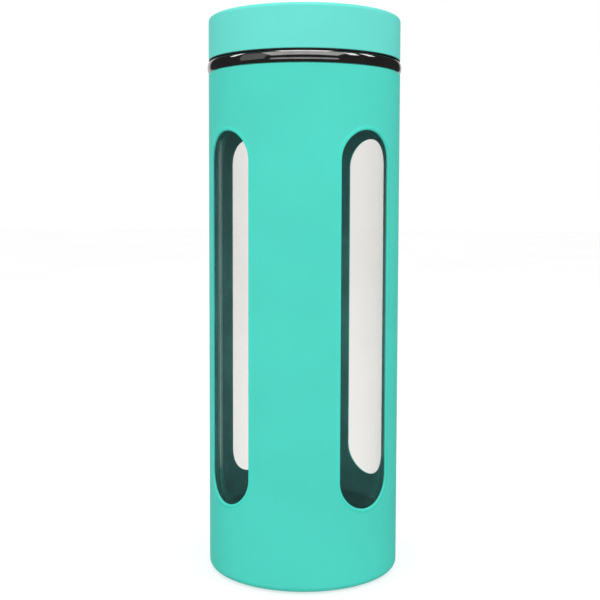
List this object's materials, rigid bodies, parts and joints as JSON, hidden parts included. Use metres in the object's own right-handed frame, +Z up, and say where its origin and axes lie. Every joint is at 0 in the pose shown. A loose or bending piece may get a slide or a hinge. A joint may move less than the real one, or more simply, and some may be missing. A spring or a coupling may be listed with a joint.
{
  "type": "glass water bottle",
  "caption": "Clear glass water bottle in a painted steel sleeve with long round-ended windows, a bright neck collar and a full-width screw lid.",
  "frame": {"origin": "centre of the foot ring's underside, on the surface that the bottle stands on", "axes": "+Z up along the bottle's axis; +X and +Y point out through the middles of two neighbouring windows"},
  "size_m": [0.075, 0.075, 0.2134],
  "materials": {
    "clear_glass": "polished",
    "sleeve_paint": "satin",
    "lid_paint": "satin",
    "collar_chrome": "polished",
    "black_plastic": "satin",
    "foot_silicone": "matte",
    "cushion_silicone": "matte",
    "gasket_silicone": "satin"
  },
  "bodies": {
    "bottle": {"glass_vessel": "clear_glass", "outer_sleeve": "sleeve_paint", "base_plug": "black_plastic", "foot_ring": "foot_silicone", "base_cushion": "cushion_silicone", "shoulder_cushion": "cushion_silicone", "neck_collar": "collar_chrome"},
    "seal": {"lid_gasket": "gasket_silicone"},
    "lid": {"lid_shell": "lid_paint", "lid_liner": "black_plastic"}
  },
  "joints": [
    {"name": "lid_rise", "type": "slide", "parent": "bottle", "child": "seal", "axis": [0, 0, 1], "range_m": [0, 0.024]},
    {"name": "lid_turn", "type": "hinge", "parent": "seal", "child": "lid", "pos_m": [0, 0, 0.2042], "axis": [0, 0, 1], "range_deg": [0, 720]}
  ],
  "couplings": [
    {"joint": "lid_rise", "follows": "lid_turn", "m_per_rad": 0.0019099}
  ]
}
